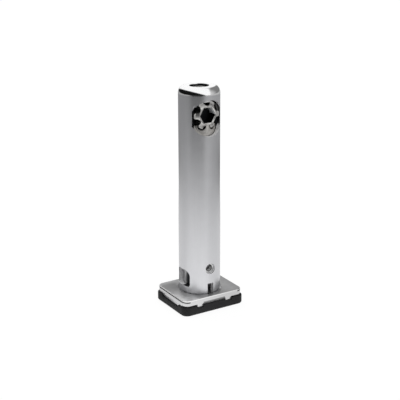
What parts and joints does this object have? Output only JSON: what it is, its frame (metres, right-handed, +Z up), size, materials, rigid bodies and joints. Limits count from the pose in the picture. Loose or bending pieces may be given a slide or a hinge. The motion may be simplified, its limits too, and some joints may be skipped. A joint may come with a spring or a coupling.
{
  "type": "adjustable furniture foot",
  "caption": "Concealed adjustable furniture foot: metal tube for a bored panel edge, side gear for a hex key, rectangular metal base on a black glide pad.",
  "frame": {"origin": "bottom centre of the glide pad, on the tube's axis", "axes": "+Z up along the tube and the screw, -Y towards the side that the hex key enters, +X along the long side of the base plate"},
  "size_m": [0.0238, 0.0198, 0.0749],
  "materials": {
    "cast_silver": "satin plated die casting, polished at the rounded end",
    "plate_steel": "satin nickel plated sheet, finely brushed, bright edges",
    "gear_steel": "bright plated sintered steel",
    "spindle_steel": "zinc plated, turned",
    "spring_steel": "bright rolled",
    "piston_cast": "plain die casting",
    "nut_brass": "turned",
    "ring_plastic": "moulded, matt",
    "pad_plastic": "moulded, matt with a fine grain"
  },
  "bodies": {
    "foot": {"piston": "piston_cast", "spindle_nut": "nut_brass", "friction_ring": "ring_plastic", "foot_cap": "plate_steel", "foot_tray": "plate_steel", "foot_pad": "pad_plastic", "foot_screw": "spindle_steel", "lock_washer": "spring_steel"},
    "tube": {"housing": "cast_silver", "drive_clip": "spring_steel", "drive_washer": "spring_steel", "guide_pin_front": "spring_steel", "guide_pin_rear": "spring_steel"},
    "screw": {"spindle": "spindle_steel", "crown_gear": "gear_steel", "crown_pin": "spring_steel", "thrust_washer": "spring_steel", "spindle_collar": "spring_steel"},
    "drive": {"drive_gear": "gear_steel"}
  },
  "joints": [
    {"name": "tube_lift", "type": "slide", "parent": "foot", "child": "tube", "axis": [0, 0, 1], "range_m": [0, 0.014]},
    {"name": "spindle_spin", "type": "hinge", "parent": "tube", "child": "screw", "pos_m": [0, 0, 0.05775], "axis": [0, 0, 1], "range_deg": [0, 5040]},
    {"name": "drive_spin", "type": "hinge", "parent": "tube", "child": "drive", "pos_m": [0, -0.0033, 0.06595], "axis": [0, -1, 0], "range_deg": [0, 6720]}
  ],
  "couplings": [
    {"joint": "spindle_spin", "follows": "tube_lift", "rad_per_m": 6283.2},
    {"joint": "drive_spin", "follows": "tube_lift", "rad_per_m": 8377.6}
  ]
}
